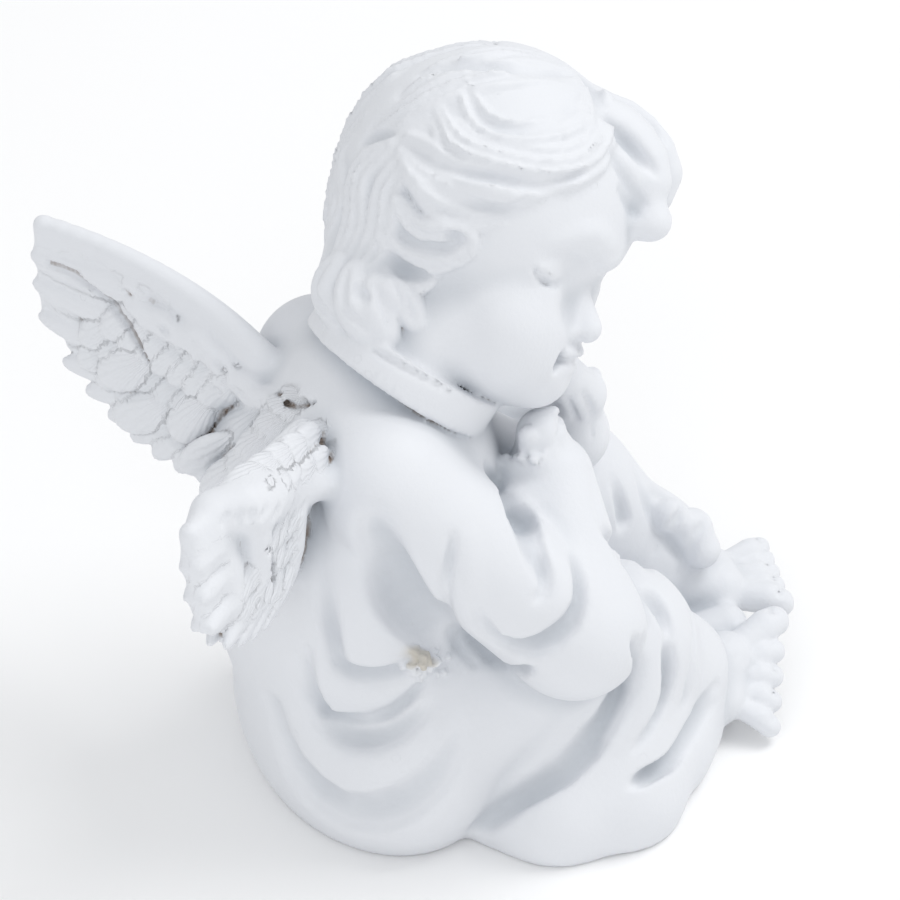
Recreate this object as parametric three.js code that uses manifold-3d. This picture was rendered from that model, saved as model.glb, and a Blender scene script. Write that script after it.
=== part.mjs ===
// A seated cherub figurine, cast as one solid in white plaster.
// It sits on the ground in a long robe with its knees drawn up, its feet together in front,
// its elbows on its knees and its chin on its hands. The head is bowed, the eyes are closed,
// and two small feathered wings stand out behind the shoulders.
// Frame: millimetres, +Z up, -Y the way the figure faces, +X its own left side,
// origin on the ground in the middle of the figure's seat.
import * as THREE from 'three';
import Module from 'manifold-3d';

// Driving dimensions, in millimetres
const figureHeight = 87;      // ground to the crown of the hair
const headScale = 1.0;        // size of the head against the classic putto proportion below
const wingSpan = 70;          // tip to tip
const wingThickness = 2.8;    // plate under the feathers, at the leading edge
const primaries = 9;          // long feathers along the trailing edge of each wing
const featherRise = 1.3;
const collarHeight = 4.6;     // stand-up band of the robe's neck
const collarWall = 2.2;
const collarRadius = 11.4;
const collarOpening = 30;     // degrees left open either side of the throat
const footWidth = 12.5;
const headYaw = 48;           // degrees that the face is turned to the figure's right
const headLean = 30;          // degrees that the crown leans to its left
const headBow = 0;            // degrees that the face looks down
const underside = 0;          // the ground plane that the figure is cut flat on

// Modelling resolution
const cell = 0.9;             // pitch of the sampling lattice
const triangleBudget = 9600;  // faces left after the flat areas are thinned out

// The pose is drawn for a figure 87 mm tall, and every place and radius is a share of the height.
const unit = figureHeight / 87;
const at = (x, y, z) => new THREE.Vector3(x, y, z).multiplyScalar(unit);
const degrees = THREE.MathUtils.degToRad;

const wasm = await Module();
wasm.setup();

// Shapes: each gives a signed distance at a point, negative inside, and the box that holds it.

function ball(centre, radius) {
  const r = radius * unit;
  return {
    box: new THREE.Box3().setFromCenterAndSize(centre, new THREE.Vector3(2 * r, 2 * r, 2 * r)),
    distance: (x, y, z) => Math.hypot(x - centre.x, y - centre.y, z - centre.z) - r,
  };
}

// An ellipsoid whose own axes are turned by a quaternion.
function egg(centre, rx, ry, rz, turn = new THREE.Quaternion()) {
  const rows = new THREE.Matrix4().makeRotationFromQuaternion(turn.clone().invert()).elements;
  const [a, b, c] = [rx * unit, ry * unit, rz * unit];
  const reach = Math.max(a, b, c);
  return {
    box: new THREE.Box3().setFromCenterAndSize(
      centre, new THREE.Vector3(2 * reach, 2 * reach, 2 * reach)),
    distance: (x, y, z) => {
      const [dx, dy, dz] = [x - centre.x, y - centre.y, z - centre.z];
      const u = (rows[0] * dx + rows[4] * dy + rows[8] * dz) / a;
      const v = (rows[1] * dx + rows[5] * dy + rows[9] * dz) / b;
      const w = (rows[2] * dx + rows[6] * dy + rows[10] * dz) / c;
      const near = Math.hypot(u, v, w);
      const slope = Math.hypot(u / a, v / b, w / c);
      return slope > 0 ? (near * (near - 1)) / slope : -Math.min(a, b, c);
    },
  };
}

// A round bar that tapers from one radius to another.
function limb(from, to, startRadius, endRadius) {
  const [r0, r1] = [startRadius * unit, endRadius * unit];
  const axis = to.clone().sub(from);
  const lengthSq = axis.lengthSq();
  return {
    box: new THREE.Box3().setFromPoints([from, to]).expandByScalar(Math.max(r0, r1)),
    distance: (x, y, z) => {
      const [dx, dy, dz] = [x - from.x, y - from.y, z - from.z];
      const along = (dx * axis.x + dy * axis.y + dz * axis.z) / lengthSq;
      const t = Math.min(1, Math.max(0, along));
      return Math.hypot(dx - t * axis.x, dy - t * axis.y, dz - t * axis.z) - (r0 + t * (r1 - r0));
    },
  };
}

// A strand along a smooth curve through some points, fat in the middle and thin at its ends.
function strand(points, radius, tipRadius = radius * 0.45, pieces = 7) {
  const curve = new THREE.CatmullRomCurve3(points);
  const spots = curve.getSpacedPoints(pieces);
  const widths = spots.map((_, i) => {
    const swell = Math.sin(Math.PI * Math.min(1, (i + 0.35) / (pieces + 0.35)));
    return tipRadius + (radius - tipRadius) * swell ** 0.6;
  });
  const bars = spots.slice(1).map((spot, i) => limb(spots[i], spot, widths[i], widths[i + 1]));
  const box = bars.reduce((all, bar) => all.union(bar.box), new THREE.Box3());
  return {
    box,
    distance: (x, y, z) => bars.reduce((least, bar) => Math.min(least, bar.distance(x, y, z)), 1e9),
  };
}

// Clay: a lattice of distances that shapes are pressed onto and cut out of.
class Clay {
  constructor(low, high, pitch) {
    this.low = low;
    this.pitch = pitch;
    this.counts = high.clone().sub(low).divideScalar(pitch).ceil().addScalar(1);
    this.values = new Float32Array(this.counts.x * this.counts.y * this.counts.z).fill(4 * pitch);
  }

  index(i, j, k) {
    return i + this.counts.x * (j + this.counts.y * k);
  }

  // Runs a mixing rule over the lattice points near a shape.
  work(shape, blend, mix) {
    const near = shape.box.clone().expandByScalar(blend * unit + 2 * this.pitch);
    const first = near.min.sub(this.low).divideScalar(this.pitch).floor().max(new THREE.Vector3());
    const last = near.max.sub(this.low).divideScalar(this.pitch).ceil()
      .min(this.counts.clone().subScalar(1));
    for (let k = first.z; k <= last.z; k++) {
      for (let j = first.y; j <= last.y; j++) {
        for (let i = first.x; i <= last.x; i++) {
          const spot = this.index(i, j, k);
          const distance = shape.distance(
            this.low.x + i * this.pitch, this.low.y + j * this.pitch, this.low.z + k * this.pitch);
          this.values[spot] = mix(this.values[spot], distance);
        }
      }
    }
  }

  // Presses a shape on, with a rounded joint as wide as the blend.
  add(shape, blend = 1) {
    const width = blend * unit;
    this.work(shape, blend, (a, b) => {
      const overlap = Math.max(width - Math.abs(a - b), 0) / width;
      return Math.min(a, b) - overlap * overlap * width * 0.25;
    });
  }

  // Scoops a shape out, with a rounded rim as wide as the blend.
  cut(shape, blend = 1) {
    const width = blend * unit;
    this.work(shape, blend, (a, b) => {
      const overlap = Math.max(width - Math.abs(a + b), 0) / width;
      return Math.max(a, -b) + overlap * overlap * width * 0.25;
    });
  }
}

// The clay's value at any place, blended from the eight lattice points round it.
function sample(clay, place) {
  const spot = place.clone().sub(clay.low).divideScalar(clay.pitch);
  const [i, j, k] = [Math.floor(spot.x), Math.floor(spot.y), Math.floor(spot.z)];
  const [u, v, w] = [spot.x - i, spot.y - j, spot.z - k];
  let sum = 0;
  for (let n = 0; n < 8; n++) {
    const [a, b, c] = [n & 1, (n >> 1) & 1, (n >> 2) & 1];
    const share = (a ? u : 1 - u) * (b ? v : 1 - v) * (c ? w : 1 - w);
    sum += share * clay.values[clay.index(i + a, j + b, k + c)];
  }
  return sum;
}

// The place where a ray from inside the clay comes out of it, lifted or sunk by some amount.
function onSkin(clay, hub, way, lift) {
  const step = way.clone().normalize().multiplyScalar(0.25 * clay.pitch);
  const place = hub.clone();
  while (sample(clay, place) < 0) place.add(step);
  return place.addScaledVector(step.normalize(), lift * unit);
}

// The body under the robe: seat, rounded back, chest and shoulders, and the cloth in the lap.
function torso(clay) {
  clay.add(egg(at(0, 18, 7.5), 23.5, 15.6, 15), 4);
  clay.add(egg(at(0, 20, 29), 16.8, 16.6, 22), 7);
  clay.add(egg(at(0, 17, 43), 13.5, 12, 13), 7);
  clay.add(limb(at(-12, 20, 48.6), at(12, 20, 48.6), 6.6, 6.6), 5);
  clay.add(egg(at(2, 4, 25), 11, 12, 17), 5);
  clay.add(egg(at(0, -4, 5), 15, 16, 13), 5);
}

// A drawn-up leg under the robe, with the cloth that falls from it to the ground.
function leg(clay, side, knee, ankle, hem) {
  clay.add(limb(at(side * 11, 14, 13), knee, 11, 8), 4);
  clay.add(limb(knee, ankle, 7.8, 6.2), 4);
  clay.add(limb(ankle, hem, 6.2, 6.4), 3);
  const skirt = [[15, -11.5, 4, 6.8], [19.8, -5, 3.5, 7.8], [19.8, 2, 3, 7.8], [17, 6, 3, 6.5]];
  for (let n = 1; n < skirt.length; n++) {
    const [[x0, y0, z0, r0], [x1, y1, z1, r1]] = [skirt[n - 1], skirt[n]];
    clay.add(limb(at(side * x0, y0, z0), at(side * x1, y1, z1), r0, r1), n === 1 ? 4 : 1.5);
    clay.add(limb(knee, at(side * x1, y1, z1), 7, r1), 2.5);
  }
}

// Folds of the robe. Each crease is scooped along a run of spots that are seen from a hub inside
// the figure: a bearing from dead ahead towards its left, and a height, both in degrees.
const hip = [0, 16, 24];
const lap = [-8, 0, 12];
const elbowBend = [-8, 0, 30];
const creases = [
  { hub: hip, width: 3.4, sink: 0.35, bothSides: true, path: [[-102, 33], [-92, 20], [-90, 11]] },
  { hub: hip, width: 1.6, sink: 0.5, bothSides: true,
    path: [[-127, 14], [-122, 4], [-111, 1], [-98, 5]] },
  { hub: hip, width: 1.5, sink: 0.45, bothSides: true,
    path: [[-131, -7], [-122, -12], [-110, -12], [-97, -4]] },
  { hub: hip, width: 1.7, sink: 0.55, bothSides: true,
    path: [[-137, 6], [-134, -12], [-124, -22], [-109, -19], [-96, -11]] },
  { hub: hip, width: 2.6, sink: 0.35, bothSides: true,
    path: [[-150, -20], [-140, -34], [-122, -37], [-105, -31], [-92, -23], [-84, -14]] },
  { hub: lap, width: 1.8, sink: 0.6, bothSides: true,
    path: [[-131, -26], [-118, -12], [-104, -3], [-89, 8], [-79, 17], [-77, 28]] },
  { hub: lap, width: 1.7, sink: 0.5, bothSides: true,
    path: [[-67, 42], [-66, 31], [-75, 20], [-95, 2]] },
  { hub: lap, width: 1.4, sink: 0.5, bothSides: true, path: [[-50, 32], [-54, 17], [-68, 4]] },
  { hub: lap, width: 1.5, sink: 0.5, bothSides: true, path: [[-22, -1], [-33, -6], [-58, -8]] },
  { hub: elbowBend, width: 1.6, sink: 0.5, bothSides: false,
    path: [[-131, 9], [-119, 1], [-104, 8], [-93, 22], [-92, 38]] },
  { hub: elbowBend, width: 2, sink: 0.6, bothSides: false,
    path: [[-158, 64], [-124, 54], [-112, 40], [-109, 30]] },
];

function drapery(clay) {
  for (const { hub, width, sink, bothSides, path } of creases) {
    for (const side of bothSides ? [1, -1] : [1]) {
      const [x, y, z] = hub;
      const spots = path.map(([bearing, height]) => {
        const way = new THREE.Vector3().setFromSphericalCoords(
          1, degrees(90 - height), degrees(side * bearing));
        const from = at(side * x, y, z);
        return onSkin(clay, from, new THREE.Vector3(way.x, -way.z, way.y), width * (0.9 - sink));
      });
      clay.cut(strand(spots, width, width * 0.4), 1);
    }
  }
}

// The robe's hem flares in three folds over the left instep.
function hemFolds(clay) {
  for (let fold = 0; fold < 3; fold++) {
    const [x, y, z] = [8 + 2.6 * fold, -23.6 - 0.9 * fold, 15.5 - 1.6 * fold];
    clay.add(strand([at(x, -15, 22 - fold), at(x + 0.4, -20.5, 18.6 - fold), at(x, y, z)], 2.3, 1.6), 0.8);
  }
}

// A chubby foot with five toes laid side by side, the big toe first.
function foot(clay, heel, bigToe, littleToe) {
  const ball0 = heel.clone().lerp(bigToe, 0.42);
  const ball4 = heel.clone().lerp(littleToe, 0.42);
  clay.add(limb(heel, ball0, 4, 3), 2);
  clay.add(limb(heel, ball4, 4, 2.6), 2);
  clay.add(limb(ball0, ball4, 2.8, 2.2), 2);
  for (let toe = 0; toe < 5; toe++) {
    const radius = footWidth * (toe === 0 ? 0.15 : 0.122 - 0.004 * toe);
    const tip = bigToe.clone().lerp(littleToe, (toe + (toe ? 0.22 : 0)) / 4.22);
    const root = ball0.clone().lerp(ball4, toe / 4);
    clay.add(limb(root, tip, radius, radius * 0.9), 0.25);
    clay.add(ball(tip, radius * 1.08), 0.25);
  }
}

// A wide sleeve from shoulder to elbow, and a narrower one up to the wrist.
function arm(clay, shoulder, elbow, wrist, fullness) {
  clay.add(limb(shoulder, elbow, 7, 8 * fullness), 2);
  clay.add(limb(elbow, wrist, 7.6 * fullness, 4.9), 1.6);
}

// A loosely closed hand: a palm and four curled fingers, laid against the chin.
function hand(clay, palm, reach, spread) {
  clay.add(limb(palm, palm.clone().add(reach), 3.6, 3.2), 1.2);
  for (let finger = 0; finger < 4; finger++) {
    const start = palm.clone().addScaledVector(spread, finger - 1.5).addScaledVector(reach, 0.35);
    const end = start.clone().add(reach);
    clay.add(limb(start, end, 1.35, 1.15), 0.4);
  }
}

// The head is turned to the figure's right and leans over towards its left hand.
// Its parts are placed in its own frame: +X its left, -Y out of the nose, +Z through the crown.
const headCentre = at(6, 1.4, 67.7);
const headTurn = new THREE.Quaternion().setFromEuler(
  new THREE.Euler(degrees(headBow), degrees(headLean), degrees(-headYaw), 'ZXY'));
const inHead = (x, y, z) => at(x, y, z).multiplyScalar(headScale).applyQuaternion(headTurn)
  .add(headCentre);
const headEgg = (x, y, z, rx, ry, rz) => egg(
  inHead(x, y, z), rx * headScale, ry * headScale, rz * headScale, headTurn);

function neck(clay) {
  clay.add(limb(at(0, 17, 50), inHead(0, 4, -12), 7.6, 7.6), 2);
}

function head(clay) {
  clay.add(headEgg(0, -0.5, 1.5, 14, 15.2, 16.5), 2);
  clay.add(headEgg(0, -3.5, -8.5, 11.4, 9.8, 10.6), 3);
  clay.add(headEgg(0, -1, -12.5, 9.6, 9, 7), 3);
  clay.add(headEgg(0, -9.4, -15.4, 4.4, 4.2, 4.2), 2.5);
  clay.cut(headEgg(0, -17, -5, 4, 2.6, 1.7), 1.5);
  for (const side of [-1, 1]) {
    clay.add(headEgg(side * 6.2, -7, -9.6, 6.2, 6, 6.2), 2.5);
    clay.cut(headEgg(side * 5.9, -15.6, -3, 3.6, 3, 2.1), 1.5);
    clay.add(headEgg(side * 5.7, -11.2, -2.9, 3, 1.9, 2), 0.6);
    clay.cut(headEgg(side * 3.2, -14.4, -12, 0.9, 1.2, 0.8), 0.6);
  }
  clay.add(limb(inHead(0, -12.4, -4.6), inHead(0, -14.5, -8), 1.3, 1.75), 1.2);
  clay.add(limb(inHead(-1.7, -13.5, -8.8), inHead(1.7, -13.5, -8.8), 1.2, 1.2), 0.6);
  clay.add(headEgg(0, -13.1, -11, 2.9, 1.7, 0.95), 0.6);
  clay.add(headEgg(0, -12.6, -13, 2.3, 1.7, 1.05), 0.5);
}

// Locks of hair, each from parting or crown to tip. A spot is a bearing round the head, taken
// from the nose towards the left ear, and a height above the ears' level, both in degrees.
const locks = [
  { width: 2.7, path: [[20, 72], [-40, 52], [-76, 44], [-100, 54]] },
  { width: 2.8, path: [[0, 62], [-44, 42], [-76, 36], [-104, 44]] },
  { width: 2.4, path: [[-8, 52], [-42, 33], [-72, 28], [-101, 34]] },
  { width: 2.2, path: [[60, 76], [150, 78], [-168, 55]] },
  { width: 2.2, path: [[45, 72], [-105, 78], [-135, 56]] },
  { width: 2.6, path: [[-148, 54], [-139, 36], [-138, 20], [-141, 2]] },
  { width: 2.2, path: [[-128, 51], [-119, 38], [-112, 24]] },
  { width: 2.3, path: [[-126, 22], [-100, 24], [-76, 21], [-52, 25]] },
  { width: 2.3, path: [[-109, 22], [-109, 9], [-111, -3], [-109, -16]] },
  { width: 2.4, path: [[-122, 20], [-126, 3], [-125, -10], [-127, -24]] },
  { width: 1.9, path: [[-98, 18], [-82, 14], [-66, 15]] },
  { width: 2, path: [[-60, 14], [-78, 14], [-90, 5], [-95, -7]] },
  { width: 1.7, path: [[-70, 5], [-80, -1], [-80, -10], [-88, -12]] },
  { width: 2.2, path: [[-99, -19], [-90, -16], [-80, -18]] },
  { width: 2.5, path: [[-130, -22], [-112, -29], [-92, -30], [-82, -26]] },
  { width: 2.6, path: [[-135, -36], [-116, -43], [-97, -40]] },
  { width: 2.8, path: [[-148, 4], [-150, -14], [-142, -30]] },
  { width: 3.3, path: [[30, 72], [50, 56], [50, 38], [44, 20]] },
  { width: 3.4, path: [[14, 68], [34, 50], [34, 32], [34, 12]] },
  { width: 3.3, path: [[2, 60], [17, 44], [20, 27], [26, 6]] },
  { width: 2.6, path: [[-4, 54], [4, 38], [10, 24], [18, 8]] },
];

function hair(clay) {
  clay.add(headEgg(0.5, 1.4, 2.8, 16, 15.6, 16.3), 0.8);
  clay.add(headEgg(0, 5.2, -4.5, 13.8, 11.4, 11.4), 2);
  clay.add(headEgg(5.4, -9.4, 7.4, 8.6, 7.2, 6.6), 1.5);
  // The back and the far side are dressed plainly, in waving locks that fall from the crown.
  const fallen = [];
  for (let bearing = 68; bearing <= 200; bearing += 22) {
    const sway = bearing % 44 ? 8 : -8;
    fallen.push({ width: 2.9, path: [[bearing, 62], [bearing + sway, 38], [bearing - sway, 12],
      [bearing + sway * 0.5, -14], [bearing - sway * 0.3, -32]] });
  }
  for (const { width, path } of [...fallen, ...locks]) {
    const spots = path.map(([bearing, height]) => {
      const way = new THREE.Vector3().setFromSphericalCoords(
        1, degrees(90 - height), degrees(bearing));
      return onSkin(clay, headCentre, new THREE.Vector3(way.x, -way.z, way.y)
        .applyQuaternion(headTurn), 0);
    });
    clay.add(strand(spots, 0.74 * width), 0.25);
  }
}

// A stand-up collar band round the back and sides of the neck, cut straight and open in front.
function collar(clay) {
  const axis = new THREE.Vector3(0.16, -0.68, 0.72).normalize();
  const centre = at(0.6, 15.4, 56.4);
  const across = new THREE.Vector3(1, 0, 0).addScaledVector(axis, -axis.x).normalize();
  const back = axis.clone().cross(across);
  const [radius, wall] = [collarRadius * unit, collarWall * unit];
  const half = (collarHeight * unit) / 2;
  const reach = 2 * (radius + half);
  clay.add({
    box: new THREE.Box3().setFromCenterAndSize(centre, new THREE.Vector3(reach, reach, reach)),
    distance: (x, y, z) => {
      const spoke = new THREE.Vector3(x, y, z).sub(centre);
      const rise = spoke.dot(axis);
      const [u, v] = [spoke.dot(across), spoke.dot(back)];
      const out = Math.hypot(u, v) - radius;
      const band = Math.max(out, -wall - out, Math.abs(rise) - half);
      const floor = Math.max(out, rise + 0.2 * half, -rise - half);
      const opening = (degrees(collarOpening) - Math.abs(Math.atan2(u, -v))) * radius;
      return Math.max(Math.min(band, floor), opening);
    },
  }, 0.3);
}

// One wing: a plate between a leading edge and a line of feather tips, with rows of feathers
// laid over both faces. The depth is the share of its full height that the wing hangs down.
function wing(clay, side, depth) {
  const spread = wingSpan / 70;
  const edge = (points) => new THREE.QuadraticBezierCurve3(
    ...points.map(([x, y, z]) => at(side * x * spread, y, z)));
  const top = edge([[7.5, 28, 53.4], [18.5, 34, 59.4], [31, 47.4, 60.6]]);
  const foot = edge([[10, 31, 35], [23.5, 38.5, 29.5], [34, 46.6, 45]]);
  const point = (a, b) => top.getPoint(a).lerp(foot.getPoint(a), b * depth);
  for (let a = 0; a <= 1.001; a += 0.0625) {
    for (let b = 0; b < 0.88; b += 0.3) {
      const thick = (wingThickness / 2) * (1 - 0.4 * b) * (1 - 0.15 * a);
      clay.add(limb(point(a, b), point(a, b + 0.3), thick, thick * 0.88), 1.6);
    }
  }
  // A feather is a flat egg from its root to its tip, both given along and down the wing.
  const feather = (root, tip, width, lift) => {
    const [start, end] = [point(...root), point(...tip)];
    const aim = end.clone().sub(start).normalize();
    const along = point(1, root[1]).sub(point(0, root[1]));
    const normal = along.cross(point(root[0], 1).sub(point(root[0], 0))).normalize();
    const across = normal.clone().cross(aim).normalize();
    normal.crossVectors(aim, across);
    const turn = new THREE.Quaternion().setFromRotationMatrix(
      new THREE.Matrix4().makeBasis(aim, across, normal));
    const middle = start.clone().lerp(end, 0.52).addScaledVector(normal, lift * unit);
    clay.add(egg(middle, (0.56 * start.distanceTo(end)) / unit, width / 2, featherRise, turn), 0.25);
  };
  for (const face of [-1, 1]) {
    for (let n = 0; n < primaries; n++) {
      const share = n / (primaries - 1);
      const tip = [1 - 0.84 * Math.max(0, share - 0.2) / 0.8, Math.min(1, 0.3 + 2.6 * share)];
      const root = [0.46 - 0.38 * share, Math.min(0.5, 0.12 + 1.5 * share)];
      feather(root, tip, 4.9, 0.7 * face);
    }
    for (let row = 0; row < 3; row++) {
      const reach = 0.76 - 0.21 * row;
      for (let n = 0; n < 6; n++) {
        const a = 0.1 + (0.7 - 0.1 * row) * ((n + 0.5 * (row % 2)) / 6);
        feather([a, reach - 0.26], [a + 0.1, reach], 4.5, (1.3 + 0.3 * row) * face);
      }
    }
  }
}

// Skin: turns the clay into a closed mesh with one vertex in each cell that the surface crosses.

const corners = [...Array(8).keys()].map((n) => [n & 1, (n >> 1) & 1, (n >> 2) & 1]);

// A cell is clean when its inside corners touch each other, and so do its outside ones.
function isClean(inside) {
  for (const kind of [true, false]) {
    const members = corners.map((_, n) => n).filter((n) => inside[n] === kind);
    if (members.length === 0) continue;
    const reached = new Set([members[0]]);
    const queue = [members[0]];
    while (queue.length) {
      const n = queue.pop();
      for (const bit of [1, 2, 4]) {
        const next = n ^ bit;
        if (inside[next] === kind && !reached.has(next)) {
          reached.add(next);
          queue.push(next);
        }
      }
    }
    if (reached.size !== members.length) return false;
  }
  return true;
}

const cleanCells = [...Array(256).keys()].map(
  (code) => isClean(corners.map((_, n) => ((code >> n) & 1) === 1)));

// Fills the outside corner nearest the surface of each unclean cell until none is left.
function fillPinches(clay) {
  const { x: nx, y: ny, z: nz } = clay.counts;
  const offsets = corners.map(([i, j, k]) => clay.index(i, j, k));
  for (let changed = true; changed;) {
    changed = false;
    for (let k = 0; k < nz - 1; k++) {
      for (let j = 0; j < ny - 1; j++) {
        for (let i = 0; i < nx - 1; i++) {
          const base = clay.index(i, j, k);
          let code = 0;
          for (let n = 0; n < 8; n++) code |= (clay.values[base + offsets[n]] < 0 ? 1 : 0) << n;
          if (cleanCells[code]) continue;
          const open = offsets.map((o) => base + o).filter((o) => clay.values[o] >= 0);
          open.sort((a, b) => clay.values[a] - clay.values[b]);
          clay.values[open[0]] = -0.02 * clay.pitch;
          changed = true;
        }
      }
    }
  }
}

function skin(clay) {
  fillPinches(clay);
  const { x: nx, y: ny, z: nz } = clay.counts;
  const points = [];
  const cellVertex = new Map();
  const vertexOf = (i, j, k) => {
    const key = clay.index(i, j, k);
    if (cellVertex.has(key)) return cellVertex.get(key);
    const sum = new THREE.Vector3();
    let crossings = 0;
    corners.forEach(([a, b, c], n) => {
      for (const bit of [1, 2, 4]) {
        if (n & bit) continue;
        const [d, e, f] = corners[n | bit];
        const v0 = clay.values[clay.index(i + a, j + b, k + c)];
        const v1 = clay.values[clay.index(i + d, j + e, k + f)];
        if (v0 < 0 === v1 < 0) continue;
        const t = v0 / (v0 - v1);
        sum.add(new THREE.Vector3(a + t * (d - a), b + t * (e - b), c + t * (f - c)));
        crossings++;
      }
    });
    points.push(sum.divideScalar(crossings).add(new THREE.Vector3(i, j, k))
      .multiplyScalar(clay.pitch).add(clay.low));
    cellVertex.set(key, points.length - 1);
    return points.length - 1;
  };
  const triangles = [];
  const ring = [[0, 0], [1, 0], [1, 1], [0, 1]];
  const steps = [[1, 0, 0], [0, 1, 0], [0, 0, 1]];
  for (let k = 1; k < nz - 1; k++) {
    for (let j = 1; j < ny - 1; j++) {
      for (let i = 1; i < nx - 1; i++) {
        const inside = clay.values[clay.index(i, j, k)] < 0;
        steps.forEach(([a, b, c], axis) => {
          if (clay.values[clay.index(i + a, j + b, k + c)] < 0 === inside) return;
          const quad = ring.map(([p, q]) => {
            const spot = [i, j, k];
            spot[(axis + 1) % 3] -= p;
            spot[(axis + 2) % 3] -= q;
            return vertexOf(...spot);
          });
          if (!inside) quad.reverse();
          triangles.push([quad[0], quad[1], quad[2]], [quad[0], quad[2], quad[3]]);
        });
      }
    }
  }
  return { points, triangles };
}

// Thins a closed mesh to a number of triangles by folding its flattest edges away first.
function thin({ points, triangles }, budget) {
  const around = points.map(() => new Set());
  triangles.forEach((corner, t) => corner.forEach((v) => around[v].add(t)));
  const quadric = points.map(() => new Float64Array(10));
  const [edgeA, edgeB, normal] = [new THREE.Vector3(), new THREE.Vector3(), new THREE.Vector3()];
  for (const [a, b, c] of triangles) {
    edgeA.subVectors(points[b], points[a]);
    edgeB.subVectors(points[c], points[a]);
    normal.crossVectors(edgeA, edgeB);
    const area = normal.length() || 1e-12;
    normal.divideScalar(area);
    const plane = [normal.x, normal.y, normal.z, -normal.dot(points[a])];
    for (const v of [a, b, c]) {
      let n = 0;
      for (let r = 0; r < 4; r++) {
        for (let s = r; s < 4; s++) quadric[v][n++] += area * plane[r] * plane[s];
      }
    }
  }
  const errorAt = (q, p) => q[0] * p.x * p.x + q[4] * p.y * p.y + q[7] * p.z * p.z + q[9]
    + 2 * (q[1] * p.x * p.y + q[2] * p.x * p.z + q[5] * p.y * p.z)
    + 2 * (q[3] * p.x + q[6] * p.y + q[8] * p.z);
  const fold = (a, b) => {
    const q = quadric[a].map((value, n) => value + quadric[b][n]);
    const solver = new THREE.Matrix3().set(q[0], q[1], q[2], q[1], q[4], q[5], q[2], q[5], q[7]);
    const choices = [points[a], points[b], points[a].clone().lerp(points[b], 0.5)];
    if (Math.abs(solver.determinant()) > 1e-6) {
      const best = new THREE.Vector3(-q[3], -q[6], -q[8]).applyMatrix3(solver.invert());
      if (best.distanceTo(choices[2]) < 1.5 * points[a].distanceTo(points[b])) choices.push(best);
    }
    const spot = choices.reduce((x, y) => (errorAt(q, y) < errorAt(q, x) ? y : x));
    const shortness = 1e-4 * points[a].distanceToSquared(points[b]);
    return { a, b, q, spot, cost: Math.max(0, errorAt(q, spot)) + shortness };
  };
  const heap = [];
  const push = (item) => {
    let n = heap.push(item) - 1;
    while (n > 0 && heap[(n - 1) >> 1].cost > item.cost) {
      heap[n] = heap[(n - 1) >> 1];
      n = (n - 1) >> 1;
    }
    heap[n] = item;
  };
  const pop = () => {
    const first = heap[0];
    const item = heap.pop();
    for (let n = 0; heap.length && n < heap.length;) {
      let child = 2 * n + 1;
      if (child + 1 < heap.length && heap[child + 1].cost < heap[child].cost) child++;
      if (child >= heap.length || heap[child].cost >= item.cost) {
        heap[n] = item;
        break;
      }
      heap[n] = heap[child];
      n = child;
    }
    return first;
  };
  const stamp = new Uint32Array(points.length);
  const queue = (a, b) => push({ ...fold(a, b), stampA: stamp[a], stampB: stamp[b] });
  const neighbours = (v) => new Set([...around[v]].flatMap((t) => triangles[t]).filter((w) => w !== v));
  triangles.forEach(([a, b, c]) => {
    if (a < b) queue(a, b);
    if (b < c) queue(b, c);
    if (c < a) queue(c, a);
  });
  const flips = (v, gone, spot) => [...around[v]].some((t) => {
    const corner = triangles[t];
    if (corner.includes(gone)) return false;
    const n = corner.indexOf(v);
    const [p, q] = [points[corner[(n + 1) % 3]], points[corner[(n + 2) % 3]]];
    edgeA.subVectors(p, points[v]);
    edgeB.subVectors(q, points[v]);
    const before = edgeA.cross(edgeB).clone();
    edgeA.subVectors(p, spot);
    edgeB.subVectors(q, spot);
    const after = edgeA.cross(edgeB);
    return after.dot(before) < 0.25 * after.length() * before.length() || after.length() < 1e-4;
  });
  let left = triangles.length;
  while (left > budget && heap.length) {
    const { a, b, q, spot, stampA, stampB } = pop();
    if (!points[a] || !points[b] || stamp[a] !== stampA || stamp[b] !== stampB) continue;
    const [nearA, nearB] = [neighbours(a), neighbours(b)];
    if ([...nearA].filter((v) => nearB.has(v)).length !== 2) continue;
    if (flips(a, b, spot) || flips(b, a, spot)) continue;
    for (const t of around[b]) {
      if (triangles[t].includes(a)) {
        triangles[t].forEach((v) => v !== b && around[v].delete(t));
        triangles[t] = null;
        left--;
      } else {
        triangles[t][triangles[t].indexOf(b)] = a;
        around[a].add(t);
      }
    }
    points[a] = spot.clone();
    points[b] = null;
    quadric[a] = q;
    stamp[a]++;
    for (const v of neighbours(a)) queue(a, v);
  }
  return { points, triangles: triangles.filter(Boolean) };
}

// Makes an indexed mesh a solid, so that it can be cut.
function solidOf(positions, indices) {
  return new wasm.Manifold(new wasm.Mesh({
    numProp: 3,
    vertProperties: Float32Array.from(positions),
    triVerts: Uint32Array.from(indices),
  }));
}

function solidFromSkin({ points, triangles }) {
  const numbers = new Map();
  const positions = [];
  const indices = triangles.flat().map((v) => {
    if (!numbers.has(v)) {
      numbers.set(v, numbers.size);
      positions.push(...points[v].toArray());
    }
    return numbers.get(v);
  });
  return solidOf(positions, indices);
}

// Everything below the ground plane is cut off flat.
function groundBlock() {
  const size = 4 * figureHeight;
  const box = new THREE.BoxGeometry(size, size, size);
  box.translate(0, 0, underside - size / 2);
  const shared = new Map();
  const positions = [];
  const source = box.getAttribute('position');
  const indices = [...box.index.array].map((v) => {
    const spot = [source.getX(v), source.getY(v), source.getZ(v)];
    const key = spot.map((value) => value.toFixed(3)).join();
    if (!shared.has(key)) {
      shared.set(key, shared.size);
      positions.push(...spot);
    }
    return shared.get(key);
  });
  return solidOf(positions, indices);
}

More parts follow.
